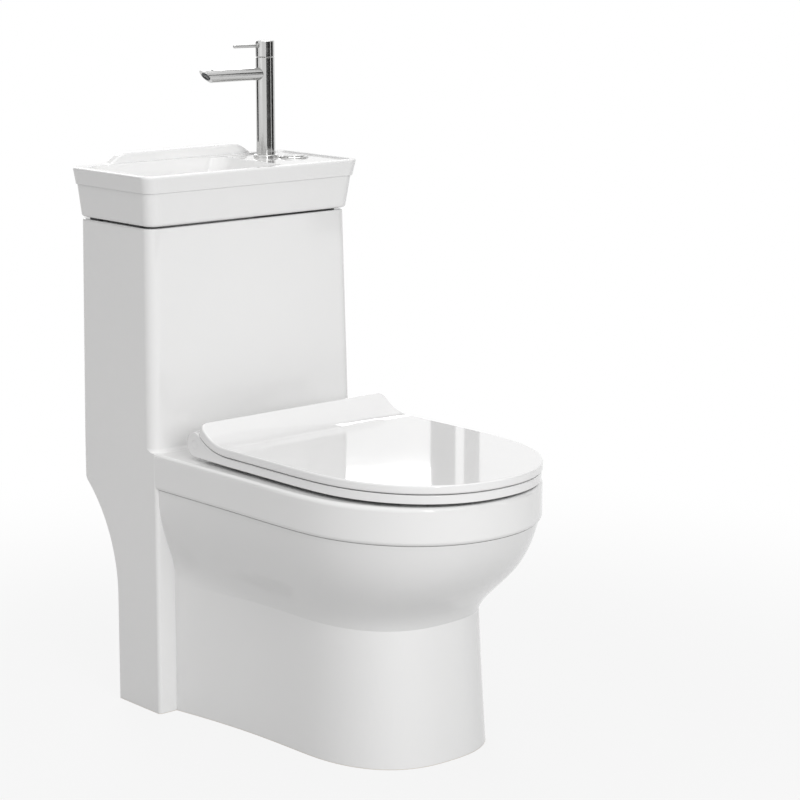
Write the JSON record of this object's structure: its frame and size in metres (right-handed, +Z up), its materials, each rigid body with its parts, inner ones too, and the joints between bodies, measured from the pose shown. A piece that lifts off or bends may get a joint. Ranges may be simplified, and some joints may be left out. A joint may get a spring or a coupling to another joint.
{
  "type": "toilet",
  "caption": "One-piece floor-standing toilet with a hand basin and tap as the cistern lid, a hinged seat and lid, and a split flush button.",
  "frame": {"origin": "on the floor under the middle of the bounding box", "axes": "+Z up, +Y towards the wall behind the cistern, +X to the tap's side"},
  "size_m": [0.395, 0.7259, 0.9706],
  "materials": {
    "ceramic": "glossy white glaze",
    "seat_plastic": "glossy moulded resin",
    "chrome": "polished with a faint brushed grain",
    "steel": "satin stainless steel",
    "brass": "machined",
    "rubber": "matt black",
    "pad_rubber": "soft translucent grey",
    "valve_plastic": "moulded white plastic",
    "valve_grey": "moulded dark grey plastic"
  },
  "bodies": {
    "pan": {"cistern": "ceramic", "tank_base": "ceramic", "tank_trough": "ceramic", "rear_block": "ceramic", "pan_rim": "ceramic", "pan_deck": "ceramic", "pedestal": "ceramic", "bowl": "ceramic", "bowl_sump": "ceramic", "trapway": "ceramic", "basin_top": "ceramic", "basin_pads": "rubber", "waste_strainer": "chrome", "waste_seal": "rubber", "waste_nut": "valve_plastic", "tap_base_ring": "chrome", "tap_body": "chrome", "tap_spout": "chrome", "tap_aerator": "valve_grey", "tap_cartridge": "brass", "tap_washer": "rubber", "tap_backnut": "brass", "button_bezel": "chrome", "button_nut": "valve_plastic", "button_spring_full": "steel", "button_spring_half": "steel", "flush_valve_seat": "valve_plastic", "flush_valve_cage": "valve_plastic", "valve_gasket": "rubber", "flush_head": "valve_grey", "fill_valve_body": "valve_plastic", "fill_valve_head": "valve_grey", "fill_valve_washer": "rubber", "fill_valve_locknut": "valve_plastic", "outlet_seal": "rubber", "hinge_posts": "steel", "hinge_pins": "steel", "seat_bolts": "steel", "bolt_washers": "rubber", "wing_nuts": "valve_plastic"},
    "seat": {"seat": "seat_plastic", "seat_bumpers": "pad_rubber", "seat_bushes": "valve_plastic", "hinge_end_caps": "seat_plastic"},
    "lid": {"lid": "seat_plastic", "lid_bumpers": "pad_rubber", "lid_bushes": "valve_plastic"},
    "tap_handle": {"tap_handle": "chrome", "tap_lever": "chrome"},
    "full_button": {"button_full": "chrome", "push_rod_full": "valve_plastic"},
    "half_button": {"button_half": "chrome", "push_rod_half": "valve_plastic"},
    "flush_tube": {"flush_seal": "rubber", "overflow_tube": "valve_plastic"},
    "float": {"float_cup": "valve_grey"}
  },
  "joints": [
    {"name": "seat_hinge", "type": "hinge", "parent": "pan", "child": "seat", "pos_m": [0, 0.0996, 0.4174], "axis": [-1, 0, 0], "range_deg": [0, 94]},
    {"name": "lid_hinge", "type": "hinge", "parent": "seat", "child": "lid", "pos_m": [0, 0.0996, 0.4174], "axis": [1, 0, 0], "range_deg": [-96, 0]},
    {"name": "tap_handle_turn", "type": "hinge", "parent": "pan", "child": "tap_handle", "pos_m": [0.119, 0.295, 0.958], "axis": [0, 0, 1], "range_deg": [0, 90]},
    {"name": "full_button_press", "type": "slide", "parent": "pan", "child": "full_button", "axis": [0, 0, -1], "range_m": [0, 0.005], "stiffness_N_per_m": 600, "springref_m": -0.006, "deforming": ["button_spring_full"]},
    {"name": "half_button_press", "type": "slide", "parent": "pan", "child": "half_button", "axis": [0, 0, -1], "range_m": [0, 0.005], "stiffness_N_per_m": 600, "springref_m": -0.006, "deforming": ["button_spring_half"]},
    {"name": "flush_lift", "type": "slide", "parent": "pan", "child": "flush_tube", "axis": [0, 0, 1], "range_m": [0, 0.025]},
    {"name": "float_slide", "type": "slide", "parent": "pan", "child": "float", "axis": [0, 0, 1], "range_m": [-0.085, 0]}
  ],
  "couplings": [
    {"joint": "flush_lift", "follows": "full_button_press", "ratio": 5}
  ]
}
